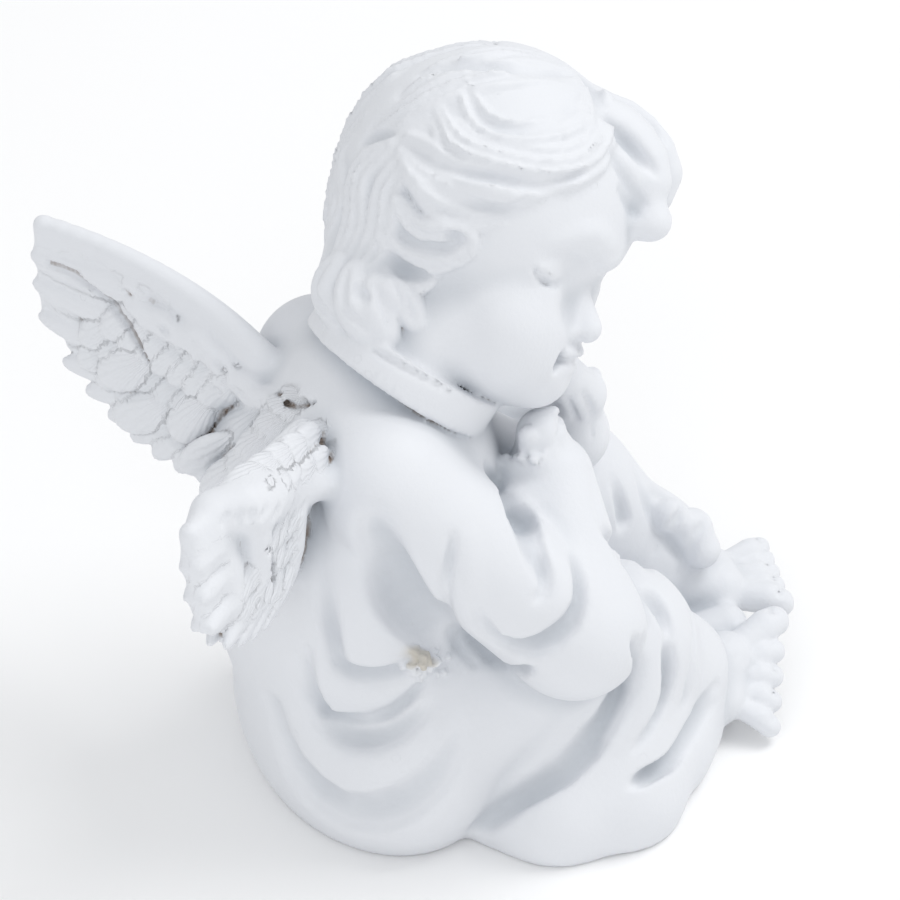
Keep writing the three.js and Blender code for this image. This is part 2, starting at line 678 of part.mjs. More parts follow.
function geometryOf(solid) {
  const mesh = solid.getMesh();
  const geometry = new THREE.BufferGeometry();
  geometry.setAttribute('position', new THREE.BufferAttribute(
    Float32Array.from(mesh.vertProperties), 3));
  geometry.setIndex(new THREE.BufferAttribute(Uint32Array.from(mesh.triVerts), 1));
  geometry.computeVertexNormals();
  return geometry;
}

function figurine() {
  const clay = new Clay(at(-42, -42, -12), at(42, 54, 96), cell);
  torso(clay);
  leg(clay, -1, at(-13, -7.5, 20), at(-9.5, -15.4, 11), at(-10, -15.6, 4));
  leg(clay, 1, at(12.5, -9.5, 23), at(11, -20, 13), at(10, -20, 5));
  foot(clay, at(-7, -20, 6), at(-3, -29.8, 9.4), at(-11, -24.8, 1.7));
  foot(clay, at(8, -24, 8.5), at(2.5, -32.3, 7.6), at(12, -34.6, 8.8));
  clay.add(limb(at(0, -20, 5), at(0.3, -26.4, 7.4), 4, 2.6), 1.5);
  arm(clay, at(-13, 20, 48), at(-19.5, 0, 28), at(-8, -1, 41), 1);
  arm(clay, at(13, 20, 48), at(12, -4, 28), at(3.4, -7, 38), 0.9);
  hemFolds(clay);
  drapery(clay);
  neck(clay);
  head(clay);
  hair(clay);
  hand(clay, at(-7.5, -0.2, 43.5), at(-0.8, 0.6, 3.6), at(0.9, -1.3, 0));
  hand(clay, at(2.2, -7.4, 41.6), at(-0.4, -0.4, 3), at(0.9, -1.2, 0));
  clay.add(limb(at(1, -7.6, 45), at(-1.5, -4.5, 50), 2.9, 2.6), 1);
  collar(clay);
  wing(clay, -1, 0.78);
  wing(clay, 1, 1);
  const shell = thin(skin(clay), triangleBudget);
  return geometryOf(solidFromSkin(shell).subtract(groundBlock()));
}

const plaster = new THREE.MeshStandardMaterial({ color: 0xe9ebf0, roughness: 0.62, metalness: 0 });

const cherub = new THREE.Group();
const figure = new THREE.Mesh(figurine(), plaster);
figure.name = 'cherub_figurine';
cherub.add(figure);

export default cherub;
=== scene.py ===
from math import cos, pi, radians, sin

import bpy
import numpy as np
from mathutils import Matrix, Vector


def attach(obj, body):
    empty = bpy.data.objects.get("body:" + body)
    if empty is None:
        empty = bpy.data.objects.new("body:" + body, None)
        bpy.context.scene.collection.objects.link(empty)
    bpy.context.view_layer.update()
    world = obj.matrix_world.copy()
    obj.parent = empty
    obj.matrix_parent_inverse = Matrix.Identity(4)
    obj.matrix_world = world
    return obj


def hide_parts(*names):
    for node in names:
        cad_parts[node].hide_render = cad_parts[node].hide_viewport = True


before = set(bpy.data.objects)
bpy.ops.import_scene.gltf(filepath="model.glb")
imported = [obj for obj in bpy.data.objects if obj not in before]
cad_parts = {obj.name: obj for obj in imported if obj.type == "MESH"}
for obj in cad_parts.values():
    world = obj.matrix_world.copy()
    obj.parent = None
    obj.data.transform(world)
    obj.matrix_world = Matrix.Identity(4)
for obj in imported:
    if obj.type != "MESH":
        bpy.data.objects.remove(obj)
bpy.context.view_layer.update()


# The robe over the seated body: one block of plaster, cast in a mould taken from a clay model.
# It is worked here as the clay was: forms are pressed on or scooped out, with rounded joints.
# The clay is a lattice of distances to the surface, in millimetres and negative inside.

GRAIN, OPEN_AIR, WORKED_MARGIN = 0.42, 3.6, 1.8
CLAY_LOW = np.array([-37.8, -39.9, -0.84])
CLAY_HIGH = np.array([37.8, 51.6, 90.3])
clay = np.full(np.ceil((CLAY_HIGH - CLAY_LOW) / GRAIN).astype(int) + 1, OPEN_AIR, np.float32)


def near_lattice(low, high, margin):
    first = np.floor((np.asarray(low) - margin - CLAY_LOW) / GRAIN).astype(int)
    last = np.ceil((np.asarray(high) + margin - CLAY_LOW) / GRAIN).astype(int) + 1
    first, last = np.maximum(first, 0), np.minimum(last, clay.shape)
    here = tuple(slice(a, b) for a, b in zip(first, last))
    axes = [(CLAY_LOW[n] + GRAIN * np.arange(first[n], last[n])).astype(np.float32)
            for n in range(3)]
    return here, np.stack(np.meshgrid(*axes, indexing="ij"), -1)


def press(form, blend=1.0):
    low, high, distance = form
    here, spots = near_lattice(low, high, blend + WORKED_MARGIN)
    old, new = clay[here], distance(spots)
    overlap = np.maximum(blend - np.abs(old - new), 0) / blend
    clay[here] = np.minimum(old, new) - overlap * overlap * blend * 0.25


def egg(centre, radii, turn=np.eye(3)):
    centre, radii = np.asarray(centre, float), np.asarray(radii, float)

    def distance(spots):
        away = (spots - centre.astype(np.float32)) @ (turn / radii).astype(np.float32)
        near = np.linalg.norm(away, axis=-1)
        slope = np.linalg.norm(away / radii.astype(np.float32), axis=-1)
        return near * (near - 1) / np.maximum(slope, 1e-6)

    return centre - radii.max(), centre + radii.max(), distance


def roll(start, end, start_radius, end_radius):
    start, end = np.asarray(start, float), np.asarray(end, float)
    axis = end - start
    length_sq = axis @ axis

    def distance(spots):
        away = spots - start.astype(np.float32)
        t = np.clip(away @ (axis / length_sq).astype(np.float32), 0, 1)
        off = away - t[..., None] * axis.astype(np.float32)
        return np.linalg.norm(off, axis=-1) - (start_radius + t * (end_radius - start_radius))

    thick = max(start_radius, end_radius)
    return np.minimum(start, end) - thick, np.maximum(start, end) + thick, distance


press(egg((0, 18, 7.5), (23.5, 15.6, 15)), 4)
press(egg((0, 20, 29), (16.8, 16.6, 22)), 7)
press(egg((0, 17, 43), (13.5, 12, 13)), 7)
press(roll((-12, 20, 48.6), (12, 20, 48.6), 6.6, 6.6), 5)
press(egg((2, 4, 25), (11, 12, 17)), 5)
press(egg((0, -4, 5), (15, 16, 13)), 5)


# The legs are drawn up under the robe, whose cloth falls from the knees to the ground.
# They are the same plaster as the body, rolled on in one with it. The skirt between each knee
# and the ground is a row of rolls that merge.

def drawn_up_leg(side, knee, ankle, hem):
    press(roll((side * 11, 14, 13), knee, 11, 8), 4)
    press(roll(knee, ankle, 7.8, 6.2), 4)
    press(roll(ankle, hem, 6.2, 6.4), 3)
    skirt = [(15, -11.5, 4, 6.8), (19.8, -5, 3.5, 7.8), (19.8, 2, 3, 7.8), (17, 6, 3, 6.5)]
    for n in range(1, 4):
        (x0, y0, z0, r0), (x1, y1, z1, r1) = skirt[n - 1], skirt[n]
        press(roll((side * x0, y0, z0), (side * x1, y1, z1), r0, r1), 4 if n == 1 else 1.5)
        press(roll(knee, (side * x1, y1, z1), 7, r1), 2.5)


drawn_up_leg(-1, (-13, -7.5, 20), (-9.5, -15.4, 11), (-10, -15.6, 4))
drawn_up_leg(1, (12.5, -9.5, 23), (11, -20, 13), (10, -20, 5))


# The bare feet stand together in front, chubby, with five toes each laid side by side.
# They are cast in one with the robe's hem. Each toe is a separate roll, bent over at its end,
# with a nail scratched into it by a fine tool.

def scoop(form, blend=1.0):
    low, high, distance = form
    here, spots = near_lattice(low, high, blend + WORKED_MARGIN)
    old, new = clay[here], distance(spots)
    overlap = np.maximum(blend - np.abs(old + new), 0) / blend
    clay[here] = np.maximum(old, -new) + overlap * overlap * blend * 0.25


def smooth_line(knots, pieces):
    knots = np.asarray(knots, float)
    run = np.vstack([2 * knots[0] - knots[1], knots, 2 * knots[-1] - knots[-2]])
    times = np.concatenate([[0], np.cumsum(np.linalg.norm(np.diff(run, axis=0), axis=1) ** 0.5)])
    line = []
    for n in range(1, len(run) - 2):
        p0, p1, p2, p3 = run[n - 1:n + 3]
        t0, t1, t2, t3 = times[n - 1:n + 3]
        for t in np.linspace(t1, t2, 25)[:-1]:
            a1 = p0 + (p1 - p0) * (t - t0) / (t1 - t0)
            a2 = p1 + (p2 - p1) * (t - t1) / (t2 - t1)
            a3 = p2 + (p3 - p2) * (t - t2) / (t3 - t2)
            b1 = a1 + (a2 - a1) * (t - t0) / (t2 - t0)
            b2 = a2 + (a3 - a2) * (t - t1) / (t3 - t1)
            line.append(b1 + (b2 - b1) * (t - t1) / (t2 - t1))
    line = np.array(line + [knots[-1]])
    reach = np.concatenate([[0], np.cumsum(np.linalg.norm(np.diff(line, axis=0), axis=1))])
    stops = np.linspace(0, reach[-1], pieces + 1)
    return np.stack([np.interp(stops, reach, line[:, n]) for n in range(3)], -1)


# A strand runs smoothly through its knots, fat in the middle and thin at its ends.

def strand(knots, radius, tip_radius, pieces=9):
    spots = smooth_line(knots, pieces)
    swell = np.sin(pi * np.minimum(1, (np.arange(pieces + 1) + 0.35) / (pieces + 0.35)))
    widths = tip_radius + (radius - tip_radius) * swell ** 0.6

    def distance(places):
        least = np.full(places.shape[:-1], 1e9, np.float32)
        for n in range(pieces):
            axis = spots[n + 1] - spots[n]
            away = places - spots[n].astype(np.float32)
            t = np.clip(away @ (axis / (axis @ axis)).astype(np.float32), 0, 1)
            off = away - t[..., None] * axis.astype(np.float32)
            bulk = widths[n] + t * (widths[n + 1] - widths[n])
            least = np.minimum(least, np.linalg.norm(off, axis=-1) - bulk)
        return least

    return spots.min(0) - radius, spots.max(0) + radius, distance


def foot(heel, big_toe, little_toe):
    heel, big_toe, little_toe = (np.array(p, float) for p in (heel, big_toe, little_toe))
    ball0, ball4 = heel + 0.36 * (big_toe - heel), heel + 0.36 * (little_toe - heel)
    press(roll(heel, ball0, 4, 3), 2)
    press(roll(heel, ball4, 4, 2.6), 2)
    press(roll(ball0, ball4, 2.8, 2.2), 2)
    for toe in range(5):
        radius = 1.95 if toe == 0 else 1.65 - 0.05 * toe
        tip = big_toe + (little_toe - big_toe) * (toe + (0.22 if toe else 0)) / 4.22
        root = ball0 + (ball4 - ball0) * toe / 4
        ahead = (tip - root) / np.linalg.norm(tip - root)
        over = np.array([0, 0, 1]) - ahead * ahead[2]
        over /= np.linalg.norm(over)
        knuckle = tip - 1.5 * ahead + 0.35 * over
        press(roll(root, knuckle, radius, radius), 0.2)
        press(roll(knuckle, tip, radius, 0.94 * radius), 0.25)
        nail = tip + radius * (0.3 * ahead + 0.78 * over)
        across = np.cross(ahead, over) * 0.45 * radius
        bed = nail - 0.5 * radius * ahead + 0.14 * radius * over
        scoop(strand([nail - across, bed, nail + across], 0.22, 0.18, 5), 0.15)


foot((-7, -20, 6), (-3, -31.2, 9.3), (-13.3, -27, 2.2))
foot((8, -24, 8.5), (2.2, -33.9, 7.6), (11.6, -34.8, 8.9))
press(roll((0, -20, 5), (0.3, -26.4, 7.4), 4, 2.6), 1.5)


# The sleeves are wide at the shoulder and elbow, and narrow towards the wrists at the chin.
# They are solid plaster, rolled on in one with the body, and the elbows rest on the knees.

def sleeve(shoulder, elbow, wrist, fullness):
    press(roll(shoulder, elbow, 7, 8 * fullness), 2)
    press(roll(elbow, wrist, 7.6 * fullness, 4.9), 1.6)


sleeve((-13, 20, 48), (-19.5, 0, 28), (-8, -1, 41), 1)
sleeve((13, 20, 48), (12, -4, 28), (3.4, -7, 38), 0.9)


# The folds of the robe are scooped out of the clay with a round tool. Each runs along spots seen
# from a hub inside the figure: a bearing from dead ahead towards its left, and a height.

FINE_STEP = 0.1


def blend_at(field, places):
    spots = np.clip((np.atleast_2d(places) - CLAY_LOW) / GRAIN, 0, np.array(field.shape) - 1.001)
    i, j, k = np.floor(spots).astype(int).T
    u, v, w = (spots - np.floor(spots)).T
    total = np.zeros(len(spots))
    for a, b, c in np.ndindex(2, 2, 2):
        share = (u if a else 1 - u) * (v if b else 1 - v) * (w if c else 1 - w)
        total += share * field[i + a, j + b, k + c]
    return total


def on_skin(hub, way, lift=0.0):
    way = np.asarray(way, float) / np.linalg.norm(way)
    run = np.arange(0, 60, FINE_STEP)
    values = blend_at(clay, np.asarray(hub, float) + run[:, None] * way)
    return np.asarray(hub, float) + way * (run[np.argmax(values >= 0)] + lift)


def sight(bearing, height):
    b, h = radians(bearing), radians(height)
    return np.array([cos(h) * sin(b), -cos(h) * cos(b), sin(h)])


HIP, LAP, ELBOW_BEND = (0, 16, 24), (-8, 0, 12), (-8, 0, 30)
folds = [
    # hub, width, sink, on both sides, path
    (HIP, 3.4, 0.35, True, [(-102, 33), (-92, 20), (-90, 11)]),
    (HIP, 1.6, 0.5, True, [(-127, 14), (-122, 4), (-111, 1), (-98, 5)]),
    (HIP, 1.5, 0.45, True, [(-131, -7), (-122, -12), (-110, -12), (-97, -4)]),
    (HIP, 1.7, 0.55, True, [(-137, 6), (-134, -12), (-124, -22), (-109, -19), (-96, -11)]),
    (HIP, 2.6, 0.35, True,
     [(-150, -20), (-140, -34), (-122, -37), (-105, -31), (-92, -23), (-84, -14)]),
    (LAP, 1.8, 0.6, True, [(-131, -26), (-118, -12), (-104, -3), (-89, 8), (-79, 17), (-77, 28)]),
    (LAP, 1.7, 0.5, True, [(-67, 42), (-66, 31), (-75, 20), (-95, 2)]),
    (LAP, 1.4, 0.5, True, [(-50, 32), (-54, 17), (-68, 4)]),
    (LAP, 1.5, 0.5, True, [(-22, -1), (-33, -6), (-58, -8)]),
    (ELBOW_BEND, 1.6, 0.5, False, [(-131, 9), (-119, 1), (-104, 8), (-93, 22), (-92, 38)]),
    (ELBOW_BEND, 2, 0.6, False, [(-158, 64), (-124, 54), (-112, 40), (-109, 30)]),
]

# Three folds of the hem hang over the far ankle.

for n in range(3):
    x, y, z = 8 + 2.6 * n, -23.6 - 0.9 * n, 15.5 - 1.6 * n
    press(strand([(x, -15, 22 - n), (x + 0.4, -20.5, 18.6 - n), (x, y, z)], 2.3, 1.6), 0.8)

for hub, width, sink, both_sides, path in folds:
    for side in (1, -1) if both_sides else (1,):
        start = (side * hub[0], hub[1], hub[2])
        spots = [on_skin(start, sight(side * b, h), width * (0.9 - sink)) for b, h in path]
        scoop(strand(spots, width, 0.4 * width, 7), 0.7)


# The near side's folds are set out as the camera sees them, in pixels of a picture 900 wide and
# 8.75 to the millimetre: the line of sight is followed from the camera to the clay. They are the
# cloth that falls from the arm, the nested folds at the hip and sleeve, and those at the knee.

AIM = np.array([0.7, 8.2, 40.8])
AWAY = np.array([-0.769, 0.25, 0.588])
AWAY /= np.linalg.norm(AWAY)
RIGHTWARD = np.cross([0, 0, 1], AWAY)
RIGHTWARD /= np.linalg.norm(RIGHTWARD)
UPWARD = np.cross(AWAY, RIGHTWARD)
CAMERA_REACH, SEARCHED = 600, 75
PICTURE_MIDDLE, DOTS_PER_MM = 450, 8.75


def outward_at(place):
    slope = np.array([blend_at(clay, place + step) - blend_at(clay, place - step)
                      for step in 0.6 * np.eye(3)]).ravel()
    return slope / max(np.linalg.norm(slope), 1e-6)


def seen(x, y, lift=0.0):
    eye = AIM + CAMERA_REACH * AWAY
    right, up = (x - PICTURE_MIDDLE) / DOTS_PER_MM, (PICTURE_MIDDLE - y) / DOTS_PER_MM
    way = AIM + right * RIGHTWARD + up * UPWARD - eye
    way /= np.linalg.norm(way)
    run = np.arange(CAMERA_REACH - SEARCHED, CAMERA_REACH + SEARCHED, FINE_STEP)
    values = blend_at(clay, eye + run[:, None] * way)
    first = np.argmax(values < 0) if values.min() < 0 else np.argmin(values)
    place = eye + way * run[first]
    return place + lift * outward_at(place)


def crease(path, width, bite, blend=0.6):
    scoop(strand([seen(x, y, width - bite) for x, y in path], width, 0.4 * width, 9), blend)


def ridge(path, width, rise, blend=1.2):
    press(strand([seen(x, y, rise - width) for x, y in path], width, 0.4 * width, 9), blend)


ridge([(300, 640), (322, 690), (365, 706), (412, 676)], 3.0, 0.7)
ridge([(286, 700), (316, 748), (372, 764), (428, 728)], 3.6, 0.7)
crease([(335, 640), (341, 664), (371, 672), (410, 664)], 0.8, 0.6)
crease([(307, 650), (312, 688), (328, 712), (365, 721), (400, 706), (422, 682)], 0.9, 0.9)
crease([(316, 722), (347, 738), (388, 734), (432, 702)], 1.2, 0.55)
crease([(274, 700), (284, 750), (314, 786), (353, 804), (400, 798), (436, 764), (456, 720)],
       2.6, 0.8, 1.5)
crease([(318, 500), (325, 590), (338, 655)], 1.2, 0.45)
crease([(372, 515), (392, 585), (436, 636)], 3.0, 1.3, 1.5)
crease([(452, 536), (448, 594), (458, 645), (474, 664)], 0.9, 0.75)
ridge([(470, 540), (466, 600), (478, 640)], 2.0, 0.5)
crease([(488, 470), (508, 508), (530, 532), (542, 574)], 1.8, 1.3)
crease([(541, 560), (546, 590), (536, 600)], 0.9, 0.8)
crease([(478, 612), (494, 636), (529, 643), (566, 625), (577, 592), (574, 560)], 1.2, 0.8)
crease([(470, 640), (498, 660), (536, 668)], 1.0, 0.4)
ridge([(560, 560), (562, 600), (540, 620)], 1.6, 0.45)
crease([(634, 640), (624, 684), (606, 729), (565, 776), (520, 800), (478, 822)], 1.6, 1.0)
crease([(668, 640), (660, 694), (634, 750)], 1.3, 0.9)
ridge([(648, 640), (640, 700), (612, 752)], 2.2, 0.5)
crease([(712, 706), (674, 752), (630, 786)], 1.4, 0.9)
ridge([(690, 640), (688, 700), (650, 752)], 2.2, 0.5)
crease([(612, 547), (647, 594), (672, 640)], 1.1, 0.5)
crease([(691, 614), (694, 656), (684, 700)], 0.9, 0.5)
crease([(612, 480), (624, 530), (648, 572)], 1.2, 0.5)
crease([(634, 470), (658, 526), (690, 566)], 1.2, 0.5)
crease([(590, 470), (604, 530), (622, 560)], 1.0, 0.4)


# The head leans over towards the figure's left hand with its face turned to the right. It is
# plaster, cast in one with the neck. It is built in its own frame: left, back (so that the nose
# points at minus), and up to the crown.

HEAD_CENTRE = np.array([6, 1.4, 67.7])
YAW, LEAN = radians(43), radians(30)
HEAD_TURN = np.array([
    [cos(LEAN) * cos(YAW), sin(YAW), sin(LEAN) * cos(YAW)],
    [-cos(LEAN) * sin(YAW), cos(YAW), -sin(LEAN) * sin(YAW)],
    [-sin(LEAN), 0, cos(LEAN)],
])


def in_head(left, back, up):
    return HEAD_CENTRE + HEAD_TURN @ np.array([left, back, up], float)


def head_egg(place, radii):
    return egg(in_head(*place), radii, HEAD_TURN)


def on_face(left, up, lift=0.0):
    return on_skin(in_head(left, 0, up), HEAD_TURN @ np.array([0, -1.0, 0]), lift)


# Neck, skull, chin, cheeks and eye sockets. The far cheek is set back behind the nose.

press(roll((0, 16.5, 50), in_head(0, 3, -12), 10, 9.2), 2)
press(head_egg((0, -0.5, 1.5), (14, 15.2, 16.5)), 2)
press(head_egg((0, -2.6, -8.5), (11.4, 9.8, 10.6)), 3)
press(head_egg((0, -1, -12.5), (9.6, 9, 7)), 3)
press(head_egg((0, -8.6, -15.4), (4.4, 4.2, 4.2)), 2.5)
scoop(head_egg((0, -15.6, -5.2), (5.6, 3.1, 2.7)), 1.5)
press(head_egg((-4, -5.4, -13.3), (7, 7, 5.4)), 2)
press(head_egg((3.2, -4.6, -13.3), (6.4, 6.6, 5.4)), 2)
press(head_egg((-6.4, -6.4, -9.8), (6.2, 6.2, 6.2)), 2.5)
press(head_egg((5.8, -4.9, -9.8), (5.8, 5.8, 5.8)), 2.5)
for side in (-1, 1):
    scoop(head_egg((side * 4.7, -15.3, -5.8), (3.8, 3.3, 4.2)), 1.5)
    scoop(head_egg((side * 7.6, -14.2, -2.8), (3.8, 3.2, 2.3)), 1.5)
    press(head_egg((side * 7.6, -9.8, -3.0), (3.1, 1.9, 2.1)), 0.8)

# Nose, lips, closed eyes and brows.

press(roll(in_head(-0.4, -11.6, -5.4), in_head(-0.1, -13.7, -9.2), 1.3, 1.75), 1.1)
press(roll(in_head(-1.8, -12.3, -9.8), in_head(1.8, -12.3, -9.8), 1.25, 1.25), 0.6)
press(head_egg((0, -11.9, -12.2), (3.3, 1.8, 1.0)), 0.7)
press(head_egg((0, -11.5, -14.1), (2.6, 1.8, 1.1)), 0.6)
for side in (-1, 1):
    lash_line = [on_face(side * x, z) for x, z in [(5.6, -3.6), (7.7, -4.6), (9.9, -3.5)]]
    lid_crease = [on_face(side * x, z) for x, z in [(5.0, -1.7), (7.5, -0.8), (10.2, -1.8)]]
    brow = [on_face(side * x, z, -0.85) for x, z in [(2.6, 0.8), (6, 2.0), (9.6, 0.4)]]
    scoop(strand(lash_line, 0.45, 0.3, 7), 0.15)
    scoop(strand(lid_crease, 0.4, 0.2, 7), 0.6)
    press(strand(brow, 1.1, 0.5, 7), 1.2)
    scoop(egg(in_head(side * 1.5, -13.7, -10.8), (0.7, 0.7, 0.6)), 0.3)
    scoop(head_egg((side * 3.6, -12.6, -13.3), (1.0, 1.8, 1.2)), 0.6)
crease([(533, 268), (541, 279), (552, 285)], 0.5, 0.75, 0.15)
mouth_line = [on_face(x, z)
              for x, z in [(-3.0, -13.1), (-1.2, -13.2), (1.2, -13.2), (3.0, -13.1)]]
scoop(strand(mouth_line, 0.42, 0.4, 7), 0.3)
scoop(strand([on_face(0, -11.2, 0.1), on_face(0, -11.8, 0.1)], 0.5, 0.3, 3), 0.4)


# The hair lies in thick soft locks of plaster, each laid on flat from parting or crown to tip,
# with creases combed along it. The near side is given as the camera sees it. The back and the
# far side fall from the crown in waves, at bearings round the head.

COMB_STEPS = 14


def nearest_skin(place, outward):
    run = np.arange(3, -1.5, -FINE_STEP)
    values = blend_at(clay, place + run[:, None] * outward)
    if values.min() < 0 < values[0]:
        return place + outward * run[np.argmax(values < 0)]
    return None


# A lock is the top of a sunk strand, so that it shows as wide and stands as high as it is told.

def lock_of_hair(spots, width, rise, combed):
    rise = 1.3 * rise
    thick = min(0.5 * (0.25 * width * width + rise * rise) / rise, 0.75 * width)
    ways = [outward_at(spot) for spot in spots]
    laid = [spot + (rise - thick) * way for spot, way in zip(spots, ways)]
    press(strand(laid, thick, 0.5 * thick, 10), 0.15)
    for mark in range(combed):
        share = (mark + 1) / (combed + 1) - 0.5
        line = []
        for n, (spot, way) in enumerate(zip(spots, ways)):
            ahead = spots[min(n + 1, len(spots) - 1)] - spots[max(n - 1, 0)]
            aside = np.cross(way, ahead / np.linalg.norm(ahead))
            ending = 0.55 if n in (0, len(spots) - 1) else 1.0
            line.append(spot + share * ending * width * aside)
        steps = np.linspace(0, len(ways) - 1, COMB_STEPS + 1)
        turning = np.stack([np.interp(steps, range(len(ways)), [way[n] for way in ways])
                            for n in range(3)], -1)
        line = [nearest_skin(spot, way)
                for spot, way in zip(smooth_line(line, COMB_STEPS), turning)]
        if all(place is not None for place in line):
            scoop(strand(line, 0.6, 0.25, COMB_STEPS), 0.4)


def wave_of_hair(wave, lift, width, rise, combed):
    lock_of_hair([on_skin(HEAD_CENTRE, HEAD_TURN @ sight(b, h), CROWN_SINK if h > 60 else lift)
                  for b, h in wave], width, rise, combed)


press(head_egg((0.5, 1.8, 3.2), (17.0, 16.6, 16.6)), 0.8)
press(head_egg((0, 6.0, -4.5), (15.0, 12.4, 12.2)), 2)
press(head_egg((5.4, -9.4, 7.4), (9.2, 7.6, 7.0)), 1.5)
for side in (-1, 1):
    press(head_egg((side * 8.2, 4, -10.6), (5.6, 6, 5.8)), 1)
    press(head_egg((side * 8.4, 9.4, -9.2), (6.2, 6.2, 6.4)), 1)

SWAY, CROWN_SINK = 7, -1.2
for bearing in range(54, 216, 18):
    wave_of_hair([(bearing + 20, 78), (bearing + 12, 66), (bearing + SWAY, 42),
                  (bearing - SWAY, 16), (bearing + SWAY, -8), (bearing - 0.5 * SWAY, -30)],
                 -0.3, 5.4, 1.1, 2)
for bearing in (8, 24, 42):
    wave_of_hair([(bearing + 10, 78), (bearing - 4, 64), (bearing + 5, 46), (bearing + 4, 26),
                  (bearing, 6)], 0, 5.6, 1.3, 0)

near_locks = [
    # width, rise, combed creases, path
    (4.6, 1.0, 2, [(560, 62), (500, 58), (440, 72), (398, 96)]),
    (4.6, 1.0, 2, [(570, 78), (510, 76), (450, 88), (404, 112), (370, 130)]),
    (4.6, 1.0, 2, [(362, 118), (342, 156), (340, 200), (322, 250)]),
    (4.6, 1.1, 2, [(386, 144), (360, 176), (356, 222), (334, 268)]),
    (4.6, 1.1, 2, [(414, 152), (388, 190), (382, 232), (356, 278)]),
    (4.0, 1.0, 1, [(412, 168), (440, 206), (476, 218), (508, 216)]),
    (4.4, 1.1, 2, [(404, 150), (432, 180), (480, 196), (528, 196)]),
    (4.4, 1.2, 1, [(410, 140), (446, 162), (500, 184), (554, 188)]),
    (5.6, 1.5, 3,
     [(600, 96), (602, 132), (584, 160), (540, 168), (492, 160), (456, 142), (440, 110)]),
    (3.6, 1.0, 1, [(586, 92), (580, 118), (548, 132), (506, 132), (478, 116), (466, 88)]),
    (3.0, 1.2, 1, [(398, 200), (420, 226), (446, 228), (468, 238), (462, 256), (446, 256)]),
    (3.4, 1.1, 1, [(384, 236), (400, 254), (430, 262), (452, 262)]),
    (3.2, 1.2, 1, [(388, 276), (414, 282), (432, 278)]),
]
for width, rise, combed, path in near_locks:
    lock_of_hair([seen(x, y) for x, y in path], width, rise, combed)

# Deep partings run between the locks, and the far fringe ends in a rounded tip.

crease([(578, 70), (600, 100), (604, 132)], 0.8, 0.8)
crease([(401, 141), (437, 165), (492, 178), (546, 185), (584, 172)], 0.7, 0.8)
crease([(424, 184), (458, 202), (505, 208), (528, 200)], 0.6, 0.6)
crease([(467, 90), (480, 117), (506, 128), (546, 122), (583, 103)], 0.8, 0.7)
crease([(419, 74), (460, 66), (528, 70), (574, 74)], 0.7, 0.6)
crease([(601, 89), (637, 107), (666, 142)], 0.9, 0.8)
crease([(605, 116), (628, 144), (656, 174)], 0.9, 0.8)
crease([(612, 150), (630, 185), (650, 216)], 0.9, 0.8)
crease([(621, 190), (637, 213), (656, 232)], 1.0, 0.9)
crease([(362, 142), (376, 135), (394, 132)], 0.8, 0.8)
press(egg(seen(640, 212, -0.6) + 1.3 * RIGHTWARD - 1.5 * UPWARD, (2.5, 2.5, 2.3)), 1.2)
crease([(450, 238), (460, 240)], 1.0, 1.1)


# The hands are loosely closed and laid against the chin, a palm with four curled fingers each.
# They are plaster, rolled on to the sleeves' ends, with the near one's fingers parted by creases.

def hand(palm, reach, spread):
    palm, reach, spread = (np.array(p, float) for p in (palm, reach, spread))
    press(roll(palm, palm + reach, 3.3, 2.9), 1.2)
    for finger in range(4):
        start = palm + spread * (finger - 1.5) + 0.35 * reach
        press(roll(start, start + reach, 1.35, 1.15), 0.2)


hand((-6.2, -0.8, 42.6), (-0.6, 0.6, 3.8), (0.9, -1.3, 0))
hand((2.2, -7.4, 41.6), (-0.4, -0.4, 3), (0.9, -1.2, 0))
press(roll((1, -7.6, 45), (-1.5, -4.5, 50), 2.9, 2.6), 1)
crease([(568, 398), (576, 420), (574, 440)], 0.4, 0.45, 0.3)
crease([(582, 392), (592, 414), (592, 436)], 0.4, 0.45, 0.3)
crease([(556, 404), (560, 424), (556, 444)], 0.4, 0.4, 0.3)


# The near cuff ends in a torn, crumbly rim, and a rough patch of old plaster is stuck under the
# arm. Both are scattered crumbs pressed on, in the same places each time.

ridge([(500, 462), (520, 467), (544, 462), (556, 450)], 1.3, 0.7, 0.5)
scatter = np.random.default_rng(11)


def crumbs(count, middle, spread, sizes):
    for _ in range(count):
        x, y = scatter.normal(middle, spread)
        size = scatter.uniform(*sizes)
        press(egg(seen(x, y, 0.35 * size), (size, 0.8 * size, 0.7 * size)), 0.15)


crumbs(60, (526, 458), (15, 3), (0.2, 0.42))
crumbs(70, (421, 662), (9, 8), (0.35, 0.7))

# The gap between the sleeve and the chest is filled at its lower end, and a broad hollow runs
# down behind the sleeve to the rough patch.

press(egg(seen(520, 508), (3.4, 3.4, 3.4)), 2)
residue_middle = seen(421, 663)
crease([(398, 548), (408, 592), (428, 630)], 3.2, 1.2, 1.3)


# The far sleeve gathers over the knee in three soft lobes, rolled on in one with it and parted
# by two shallow folds.

for x, y, size in [(662, 515, 2.1), (685, 529, 2.6), (694, 552, 2.3)]:
    press(egg(seen(x, y, -0.4) + 1.1 * RIGHTWARD, (size, size, size)), 1)
crease([(706, 520), (694, 540), (678, 572)], 0.7, 0.5)
crease([(682, 508), (672, 528), (656, 552)], 0.7, 0.5)


# The collar is the stand-up band of the robe's neck, open at the throat and cut straight.
# It is a ring of plaster laid round the neck, with a floor inside that joins it to the body.

